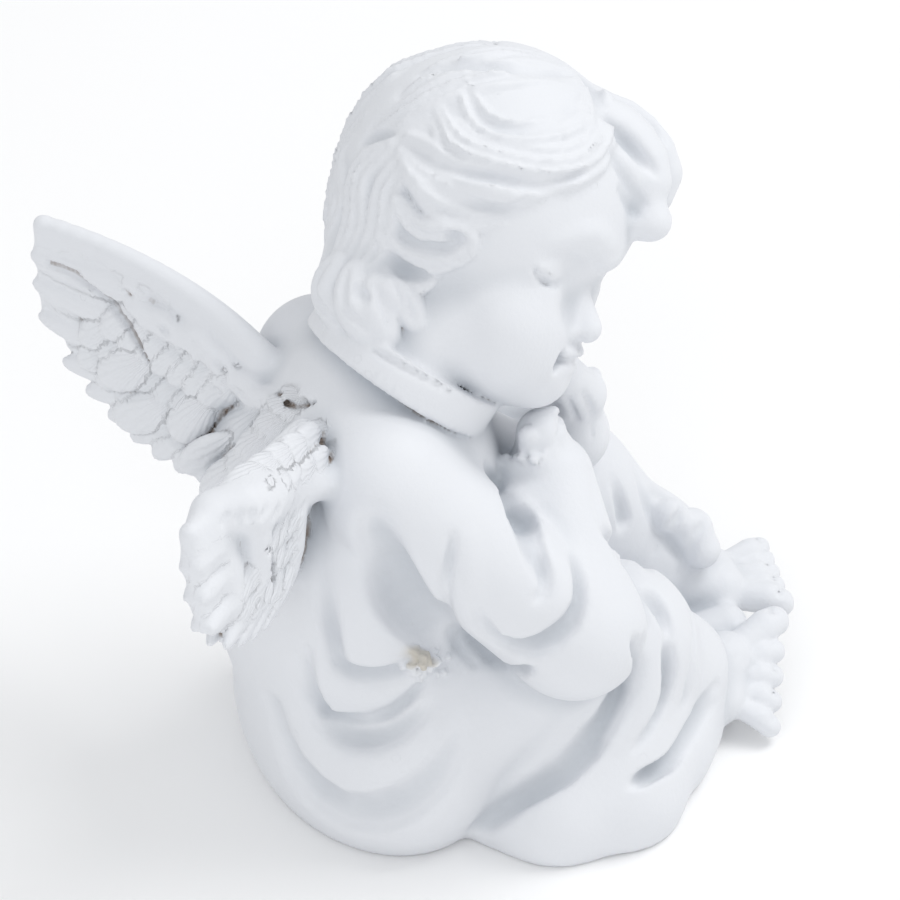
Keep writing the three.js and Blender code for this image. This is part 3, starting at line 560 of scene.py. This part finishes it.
def collar():
    axis = np.array([0.16, -0.64, 0.76])
    axis /= np.linalg.norm(axis)
    centre = np.array([-0.2, 13.9, 54.9])
    across = np.array([1.0, 0, 0]) - axis * axis[0]
    across /= np.linalg.norm(across)
    back = np.cross(axis, across)
    radius, wall, half = 11.7, 2.2, 2.2

    def distance(spots):
        spoke = spots - centre.astype(np.float32)
        rise, u, v = (spoke @ way.astype(np.float32) for way in (axis, across, back))
        out = np.hypot(u, v) - radius
        band = np.maximum(np.maximum(out, -wall - out), np.abs(rise) - half)
        floor = np.maximum(np.maximum(out, rise + 0.2 * half), -rise - half)
        opening = (radians(24) - np.abs(np.arctan2(u, -v))) * radius
        return np.maximum(np.minimum(band, floor), opening)

    return centre - radius - half, centre + radius + half, distance


press(collar(), 0.3)

# The jaw rests on the collar, and a tuft of hair hangs over its side.

jaw = seen(450, 340, -5.5)
press(egg(jaw - 3.4 * RIGHTWARD, (5.6, 5.6, 5.6)), 2)
press(egg(jaw - 6.5 * RIGHTWARD - 2 * UPWARD, (5, 5, 5)), 1.5)
press(egg(jaw - 9.5 * RIGHTWARD - 1.6 * UPWARD, (4, 4, 4)), 1.5)
press(egg(seen(372, 298, -2.5), (5, 5, 5)), 1.5)
tuft = [
    # width, rise, path
    (4.8, 1.3, [(336, 262), (326, 290), (342, 324)]),
    (4.6, 1.4, [(352, 272), (352, 304), (368, 334)]),
    (4.4, 1.5, [(376, 284), (378, 312), (390, 340)]),
    (4.2, 1.4, [(390, 286), (408, 306), (416, 324)]),
]
for width, rise, path in tuft:
    lock_of_hair([seen(x, y) for x, y in path], width, rise, 1)
crease([(388, 256), (402, 270), (430, 278)], 1.0, 1.2, 0.3)
crease([(357, 288), (366, 300)], 0.8, 0.8, 0.3)
crease([(372, 350), (400, 366), (428, 381), (452, 393)], 0.45, 0.5, 0.2)


# The wings stand out behind the shoulders, cast in one with the back. Each is a plate between a
# leading edge and a line of feather tips, with rows of feathers laid over both of its faces.

# A feather is a flat egg, sunk at its root and standing clear at its tip. Each is kept in a list,
# so that its barbs can be scratched in later.

feathers = []


def lay_feather(start, end, normal, width, thick):
    length = np.linalg.norm(end - start)
    aim = (end - start) / length
    across = np.cross(normal, aim)
    across /= np.linalg.norm(across)
    turn = np.stack([aim, across, np.cross(aim, across)], -1)
    middle = start + 0.52 * (end - start)
    press(egg(middle, (0.56 * length, width / 2, thick), turn), 0.1)
    feathers.append((middle, turn, 0.56 * length, width / 2))


def plume(root, tip, width):
    start, end = seen(*root), seen(*tip)
    normal = outward_at(0.5 * (start + end))
    lay_feather(start - 0.7 * normal, end, normal, width, 1.1)


def bend(points, a):
    p0, p1, p2 = (np.asarray(p, float) for p in points)
    return (1 - a) ** 2 * p0 + 2 * a * (1 - a) * p1 + a ** 2 * p2


def wing(side, depth):
    flip = np.array([side, 1, 1])
    top = np.array([(7.5, 28, 53.4), (18.5, 34, 59.4), (31, 47.4, 60.6)]) * flip
    foot_line = np.array([(10, 31, 35), (23.5, 38.5, 29.5), (34, 46.6, 45)]) * flip

    def point(a, b):
        return bend(top, a) + (bend(foot_line, a) - bend(top, a)) * b * depth

    for a in np.arange(0, 1.001, 0.0625):
        for b in (0, 0.3, 0.6):
            thick = 1.4 * (1 - 0.4 * b) * (1 - 0.15 * a)
            press(roll(point(a, b), point(a, b + 0.3), thick, 0.88 * thick), 1.6)

    def feather(root, tip, width, lift, thick=1.1):
        along = point(1, root[1]) - point(0, root[1])
        normal = np.cross(along, point(root[0], 1) - point(root[0], 0))
        normal /= np.linalg.norm(normal)
        lay_feather(point(*root) + 0.45 * lift * normal, point(*tip) + 1.25 * lift * normal,
                    normal * np.sign(lift), width, thick)

    for face in (-1, 1):
        for n in range(10):
            share = n / 9
            tip = (1 - 0.84 * max(0, share - 0.2) / 0.8, min(1, 0.3 + 2.6 * share))
            root = (0.46 - 0.38 * share, min(0.5, 0.12 + 1.5 * share))
            feather(root, tip, 4.4, 0.75 * face, 1.25)
        for row in range(3):
            reach = 0.84 - 0.19 * row
            for n in range(7):
                a = 0.06 + (0.68 - 0.06 * row) * ((n + 0.5 * (row % 2)) / 7)
                feather((a, reach - 0.3), (a + 0.15, reach), 4.6, (1.15 + 0.3 * row) * face)


wing(-1, 0.78)
wing(1, 1)


# Where the wings meet the back, small feathers run up on to the robe, and the near wing has a
# thick rolled rim. The plaster is cracked along the far wing's quills and at its root.

for n in range(1, 6):
    plume((338 - 15 * n, 424 + 9 * n), (306 - 15 * n, 442 + 11 * n), 4.2)
    plume((346 - 16 * n, 446 + 9 * n), (310 - 16 * n, 468 + 10 * n), 4.2)
for n in range(5):
    plume((300 - 17 * n, 398 + 17 * n), (272 - 17 * n, 414 + 20 * n), 4.2)
ridge([(212, 540), (222, 517), (252, 502), (290, 491), (322, 478)], 3.2, 1.7, 1.6)
ridge([(300, 508), (292, 560), (268, 622)], 2.6, 0.9)
ridge([(262, 524), (262, 572), (250, 625)], 2.3, 0.8)
ridge([(230, 544), (236, 590), (241, 622)], 2.0, 0.7)
for n in range(7):
    crease([(228 + 13 * n, 512 - 2 * n), (222 + 13 * n, 527 - 2 * n)], 0.5, 0.4, 0.3)
broad_feathers = [((258, 408), (215, 440)), ((205, 402), (174, 432)), ((168, 398), (120, 420)),
                  ((146, 358), (104, 378)), ((232, 442), (190, 470))]
for root, tip in broad_feathers:
    plume(root, tip, 5.8)
for n in range(16):
    x, y = np.array([132, 286]) + n / 15 * np.array([112, 104]) + scatter.normal(0, 10, 2)
    ridge([(x, y), (x + 14, y + 9), (x + 26, y + 24)], 1.7, 0.8, 0.6)
    crease([(x + 2, y + 9), (x + 14, y + 19)], 0.4, 0.5, 0.2)
crease([(48, 264), (72, 274), (100, 296), (122, 318), (138, 345), (148, 362)], 0.7, 1.0, 0.3)
crease([(277, 391), (290, 404), (316, 402)], 0.5, 0.9, 0.2)
crease([(268, 548), (274, 566), (277, 587)], 0.7, 1.2, 0.2)


# The cast is the clay's skin in white plaster, one closed shell that stands on its flat cut
# underside. It has one vertex in each cell that the surface crosses, and is then thinned where
# it is smooth.

def skin_of(field):
    inside = field < 0
    nx, ny, nz = field.shape
    count = np.zeros((nx - 1, ny - 1, nz - 1), np.int8)
    for a, b, c in np.ndindex(2, 2, 2):
        count += inside[a:nx - 1 + a, b:ny - 1 + b, c:nz - 1 + c]
    cells = np.argwhere((count > 0) & (count < 8))
    number = np.full(count.shape, -1, np.int32)
    number[tuple(cells.T)] = np.arange(len(cells))
    corner_of = list(np.ndindex(2, 2, 2))
    corner_value = {c: field[tuple((cells + c).T)].astype(float) for c in corner_of}
    total, crossings = np.zeros((len(cells), 3)), np.zeros(len(cells))
    for first in corner_of:
        for n in range(3):
            if first[n]:
                continue
            step = np.eye(3, dtype=int)[n]
            v0, v1 = corner_value[first], corner_value[tuple(np.add(first, step))]
            cross = (v0 < 0) != (v1 < 0)
            t = np.where(cross, v0 / np.where(cross, v0 - v1, 1), 0)
            total += np.where(cross[:, None], np.array(first) + t[:, None] * step, 0)
            crossings += cross
    points = (cells + total / crossings[:, None]) * GRAIN + CLAY_LOW
    quads = []
    for n in range(3):
        step = np.eye(3, dtype=int)[n]
        p, q = np.eye(3, dtype=int)[(n + 1) % 3], np.eye(3, dtype=int)[(n + 2) % 3]
        here = inside[1:-1, 1:-1, 1:-1]
        there = inside[tuple(slice(1 + a, size - 1 + a) for a, size in zip(step, inside.shape))]
        spots = np.argwhere(here != there) + 1
        ring = [number[tuple((spots - s).T)] for s in (0 * p, p, p + q, q)]
        quad = np.stack(ring, -1)
        leaving = inside[tuple(spots.T)]
        quads.append(np.where(leaving[:, None], quad, quad[:, ::-1]))
    return points, np.concatenate(quads)


level = CLAY_LOW[2] + GRAIN * np.arange(clay.shape[2])
ground_cut = np.maximum(clay, -level.astype(np.float32))
points, quads = skin_of(ground_cut)

mesh = bpy.data.meshes.new("cherub_plaster")
mesh.vertices.add(len(points))
mesh.vertices.foreach_set("co", (points / 1000).ravel())
mesh.loops.add(quads.size)
mesh.loops.foreach_set("vertex_index", quads.ravel())
mesh.polygons.add(len(quads))
mesh.polygons.foreach_set("loop_start", np.arange(0, quads.size, 4))
mesh.update(calc_edges=True)
cherub = bpy.data.objects.new("cherub_plaster", mesh)
bpy.context.scene.collection.objects.link(cherub)

TRIANGLES = 190000
thinning = cherub.modifiers.new("thinning", "DECIMATE")
thinning.ratio = min(1.0, TRIANGLES / (2 * len(quads)))
thinning.use_collapse_triangulate = True
shown = bpy.context.evaluated_depsgraph_get()
thinned = bpy.data.meshes.new_from_object(cherub.evaluated_get(shown))
cherub.modifiers.clear()
cherub.data = thinned
thinned.name = "cherub_plaster"
thinned.shade_smooth()
vertices = np.empty(3 * len(thinned.vertices))
thinned.vertices.foreach_get("co", vertices)
vertices = vertices.reshape(-1, 3) * 1000


# The hollows get painted shade and are made rougher as with dust, and brown dirt lies in the
# cracks, where the clay closes round a spot: the share of plaster in a cube about it, kept on each
# vertex, near 0.5 on flat cloth and higher in a crevice.

def share_within(reach):
    solid = np.clip(0.5 - ground_cut / GRAIN, 0, 1).astype(np.float32)
    width = max(1, int(round(reach / GRAIN)))
    for n in range(3):
        pad = [(0, 0)] * 3
        pad[n] = (width + 1, width)
        run = np.cumsum(np.pad(solid, pad, mode="edge"), axis=n, dtype=np.float64)
        ahead = np.take(run, range(2 * width + 1, run.shape[n]), axis=n)
        behind = np.take(run, range(0, run.shape[n] - 2 * width - 1), axis=n)
        solid = ((ahead - behind) / (2 * width + 1)).astype(np.float32)
    return solid


def keep_on_vertices(name, values):
    layer = thinned.attributes.new(name, "FLOAT", "POINT")
    layer.data.foreach_set("value", values.astype(np.float32))


keep_on_vertices("crevice", blend_at(share_within(0.9), vertices))
# The wider hollow share sets the grey painted shade in the folds and the roughness.
keep_on_vertices("hollow", blend_at(share_within(3.0), vertices))

# Each feather's vertices keep how far round its quill they lie, which its barbs are drawn from.

BEHIND = 24
behind = np.flatnonzero(vertices[:, 1] > BEHIND)
least, fan = np.full(len(vertices), 1.35), np.zeros(len(vertices))
for middle, turn, half_length, half_width in feathers:
    close = behind[np.abs(vertices[behind] - middle).max(1) < half_length + 1]
    along, aside, up = ((vertices[close] - middle) @ turn).T
    reach = np.sqrt((along / half_length) ** 2 + (aside / half_width) ** 2 + (up / 1.3) ** 2)
    nearer = reach < least[close]
    least[close[nearer]] = reach[nearer]
    fan[close[nearer]] = np.arctan2(aside, along + 1.5 * half_length)[nearer]
keep_on_vertices("barb_fan", fan)
keep_on_vertices("feathered", np.where(least < 1.34, 1.0, 0.0))

RESIDUE_REACH, RESIDUE_EDGE = 2.9, 0.9
from_residue = np.linalg.norm(vertices - residue_middle, axis=1)
keep_on_vertices("residue", np.clip((RESIDUE_REACH - from_residue) / RESIDUE_EDGE, 0, 1))


def shader_group(name, inputs, outputs):
    group = bpy.data.node_groups.new(name, "ShaderNodeTree")
    for label, kind, value in inputs:
        socket = group.interface.new_socket(label, in_out="INPUT", socket_type=kind)
        socket.default_value = value
    for label, kind in outputs:
        group.interface.new_socket(label, in_out="OUTPUT", socket_type=kind)
    return group, group.nodes.new("NodeGroupInput"), group.nodes.new("NodeGroupOutput")


# A node is made with its settings and inputs. An input is a value or another node's output.

def node(tree, kind, settings=None, inputs=None):
    made = tree.nodes.new(kind)
    for label, value in (settings or {}).items():
        setattr(made, label, value)
    for label, value in (inputs or {}).items():
        if isinstance(value, bpy.types.NodeSocket):
            tree.links.new(value, made.inputs[label])
        else:
            made.inputs[label].default_value = value
    return made


def reckon(tree, operation, *values):
    sum_of = node(tree, "ShaderNodeMath", {"operation": operation}, dict(enumerate(values)))
    return sum_of.outputs[0]


# The cast's skin: faint waves left by the mould, the plaster's grain, and pinholes from air.

cast_skin, given, put_out = shader_group(
    "cast skin",
    [("Wave Depth", "NodeSocketFloat", 0.5), ("Grain Depth", "NodeSocketFloat", 0.2),
     ("Pinhole Size", "NodeSocketFloat", 0.13)],
    [("Height", "NodeSocketFloat")])
place = node(cast_skin, "ShaderNodeTexCoord").outputs["Object"]
waves = node(cast_skin, "ShaderNodeTexNoise", None,
             {"Vector": place, "Scale": 170, "Detail": 3, "Roughness": 0.5})
grain = node(cast_skin, "ShaderNodeTexNoise", None,
             {"Vector": place, "Scale": 1500, "Detail": 2, "Roughness": 0.6})
bubbles = node(cast_skin, "ShaderNodeTexVoronoi", None,
               {"Vector": place, "Scale": 240, "Randomness": 1})
patchy = node(cast_skin, "ShaderNodeTexNoise", None, {"Vector": place, "Scale": 60, "Detail": 1})
seldom = node(cast_skin, "ShaderNodeMapRange", None,
              {"Value": patchy.outputs["Fac"], "From Min": 0.56, "From Max": 0.66})
small = reckon(cast_skin, "LESS_THAN", bubbles.outputs["Distance"], given.outputs["Pinhole Size"])
pinholes = reckon(cast_skin, "MULTIPLY", small, seldom.outputs["Result"])
wavy = reckon(cast_skin, "MULTIPLY", waves.outputs["Fac"], given.outputs["Wave Depth"])
grainy = reckon(cast_skin, "MULTIPLY_ADD", grain.outputs["Fac"], given.outputs["Grain Depth"], wavy)
pitted = reckon(cast_skin, "SUBTRACT", grainy, pinholes)
cast_skin.links.new(pitted, put_out.inputs["Height"])

# Painted shade and dirt: the hollows are darkened towards a cool grey as painted shade, and brown
# dirt lies deep in the cracks, broken up so that it lies in patches.

painted_shade_and_dirt_group, given, put_out = shader_group(
    "painted shade and grime",
    [("Clean", "NodeSocketColor", (0.76, 0.775, 0.805, 1)),
     # The cool grey colour of the painted shade in the hollows.
     ("Painted Shade", "NodeSocketColor", (0.50, 0.53, 0.57, 1)),
     ("Brown", "NodeSocketColor", (0.2, 0.14, 0.1, 1)), ("Crevice", "NodeSocketFloat", 0.5),
     ("Hollow", "NodeSocketFloat", 0.5), ("Cracked", "NodeSocketFloat", 0.0)],
    [("Colour", "NodeSocketColor")])
PATCHINESS, CRACK_DIRT = 0.16, 0.1
place = node(painted_shade_and_dirt_group, "ShaderNodeTexCoord").outputs["Object"]
patches = node(painted_shade_and_dirt_group, "ShaderNodeTexNoise", None,
               {"Vector": place, "Scale": 420, "Detail": 3, "Roughness": 0.6})
deep = reckon(painted_shade_and_dirt_group, "MULTIPLY_ADD", patches.outputs["Fac"], PATCHINESS,
              given.outputs["Crevice"])
deeper = reckon(painted_shade_and_dirt_group, "MULTIPLY_ADD", given.outputs["Cracked"], CRACK_DIRT, deep)
# Painted shade: the deeper the hollow, the more the clean plaster is mixed towards the cool grey
# shade colour.
painted_shade_mask = node(painted_shade_and_dirt_group, "ShaderNodeMapRange", None,
             {"Value": given.outputs["Hollow"], "From Min": 0.5, "From Max": 0.74, "To Max": 0.85})
brown = node(painted_shade_and_dirt_group, "ShaderNodeMapRange", None,
             {"Value": deeper, "From Min": 0.80, "From Max": 0.92, "To Max": 0.85})
painted_shade_mixed = node(painted_shade_and_dirt_group, "ShaderNodeMix", {"data_type": "RGBA"},
               {"Factor": painted_shade_mask.outputs["Result"], "A": given.outputs["Clean"],
                "B": given.outputs["Painted Shade"]})
browned = node(painted_shade_and_dirt_group, "ShaderNodeMix", {"data_type": "RGBA"},
               {"Factor": brown.outputs["Result"], "A": painted_shade_mixed.outputs["Result"],
                "B": given.outputs["Brown"]})
painted_shade_and_dirt_group.links.new(browned.outputs["Result"], put_out.inputs["Colour"])

# White cast plaster. The rough patch under the arm is older plaster, gone buff.

plaster = bpy.data.materials.new("white plaster")
plaster.use_nodes = True
tree = plaster.node_tree
surface = tree.nodes["Principled BSDF"]
surface.inputs["Specular IOR Level"].default_value = 0.3
crevice, hollow, barb_fan, feathered, residue = (
    node(tree, "ShaderNodeAttribute", {"attribute_name": name}).outputs["Fac"]
    for name in ("crevice", "hollow", "barb_fan", "feathered", "residue"))
skin_marks = node(tree, "ShaderNodeGroup", {"node_tree": cast_skin})
# The base colour is the clean plaster with painted shade in the hollows and brown dirt in the
# cracks, with the buff patch laid over it.
shade_and_dirt = node(tree, "ShaderNodeGroup", {"node_tree": painted_shade_and_dirt_group},
            {"Crevice": crevice, "Hollow": hollow, "Cracked": feathered})
buff = node(tree, "ShaderNodeMix", {"data_type": "RGBA"},
            {"Factor": residue, "A": shade_and_dirt.outputs["Colour"], "B": (0.60, 0.57, 0.51, 1)})
tree.links.new(buff.outputs["Result"], surface.inputs["Base Color"])

# The barbs are fine scratches that fan out from each quill.

BARB_CLOSENESS, BARB_WOBBLE, BARB_DEPTH = 62, 5, 0.2
place = node(tree, "ShaderNodeTexCoord").outputs["Object"]
wobble = node(tree, "ShaderNodeTexNoise", None, {"Vector": place, "Scale": 500, "Detail": 2})
barbs = reckon(tree, "MULTIPLY", barb_fan, BARB_CLOSENESS)
unsteady = reckon(tree, "MULTIPLY_ADD", wobble.outputs["Fac"], BARB_WOBBLE, barbs)
scratches = reckon(tree, "MULTIPLY", reckon(tree, "SINE", unsteady), feathered)
marks = reckon(tree, "MULTIPLY_ADD", scratches, BARB_DEPTH, skin_marks.outputs["Height"])
relief = node(tree, "ShaderNodeBump", None, {"Strength": 0.8, "Distance": 0.00022, "Height": marks})
tree.links.new(relief.outputs["Normal"], surface.inputs["Normal"])

# Handled spots are a little smoother than dusty ones.

dusty = node(tree, "ShaderNodeMapRange", None,
             {"Value": hollow, "From Min": 0.45, "From Max": 0.7, "To Min": 0.55, "To Max": 0.85})
tree.links.new(dusty.outputs["Result"], surface.inputs["Roughness"])
thinned.materials.append(plaster)

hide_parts("cherub_figurine")
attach(cherub, "root")


# The floor is a plain pale sweep of card that the figurine is photographed on. It is matt and
# bare, and belongs to the stage, not to the figurine.

floor_mesh = bpy.data.meshes.new("floor")
floor_mesh.from_pydata([(-3, -3, 0), (3, -3, 0), (3, 3, 0), (-3, 3, 0)], [], [(0, 1, 2, 3)])
floor = bpy.data.objects.new("floor", floor_mesh)
bpy.context.scene.collection.objects.link(floor)
pale = bpy.data.materials.new("pale sweep")
pale.use_nodes = True
pale.node_tree.nodes["Principled BSDF"].inputs["Base Color"].default_value = (0.95, 0.95, 0.95, 1)
pale.node_tree.nodes["Principled BSDF"].inputs["Roughness"].default_value = 0.9
floor_mesh.materials.append(pale)


# Soft studio light: a large softbox above and to the left, a weaker one from the right, and a
# pale room all round.

def softbox(name, place, target, size, power, colour):
    light = bpy.data.lights.new(name, "AREA")
    light.shape, light.size, light.energy, light.color = "SQUARE", size, power, colour
    lamp = bpy.data.objects.new(name, light)
    lamp.location = place
    lamp.rotation_euler = (Vector(target) - Vector(place)).to_track_quat("-Z", "Y").to_euler()
    bpy.context.scene.collection.objects.link(lamp)


MIDDLE = (0, 0.008, 0.04)
softbox("key", (0.0, -0.42, 0.66), MIDDLE, 0.4, 2.2, (1, 0.995, 0.985))
softbox("fill", (-0.6, 0.35, 0.5), MIDDLE, 0.5, 1.1, (0.98, 0.99, 1))
room = bpy.data.worlds.new("pale room")
room.use_nodes = True
room.node_tree.nodes["Background"].inputs["Color"].default_value = (0.975, 0.985, 1, 1)
room.node_tree.nodes["Background"].inputs["Strength"].default_value = 0.74
bpy.context.scene.world = room


# The camera looks down on the figure's right side with a long lens, from the spot that the near
# side's folds were sighted from.

camera = bpy.data.objects.new("camera", bpy.data.cameras.new("camera"))
camera.data.lens = 210
camera.data.sensor_width = 36
camera.data.clip_start = 0.01
camera.location = (AIM + CAMERA_REACH * AWAY) / 1000
camera.rotation_euler = (-Vector(AWAY)).to_track_quat("-Z", "Y").to_euler()
bpy.context.scene.collection.objects.link(camera)
bpy.context.scene.camera = camera
bpy.context.scene.view_settings.view_transform = "Standard"
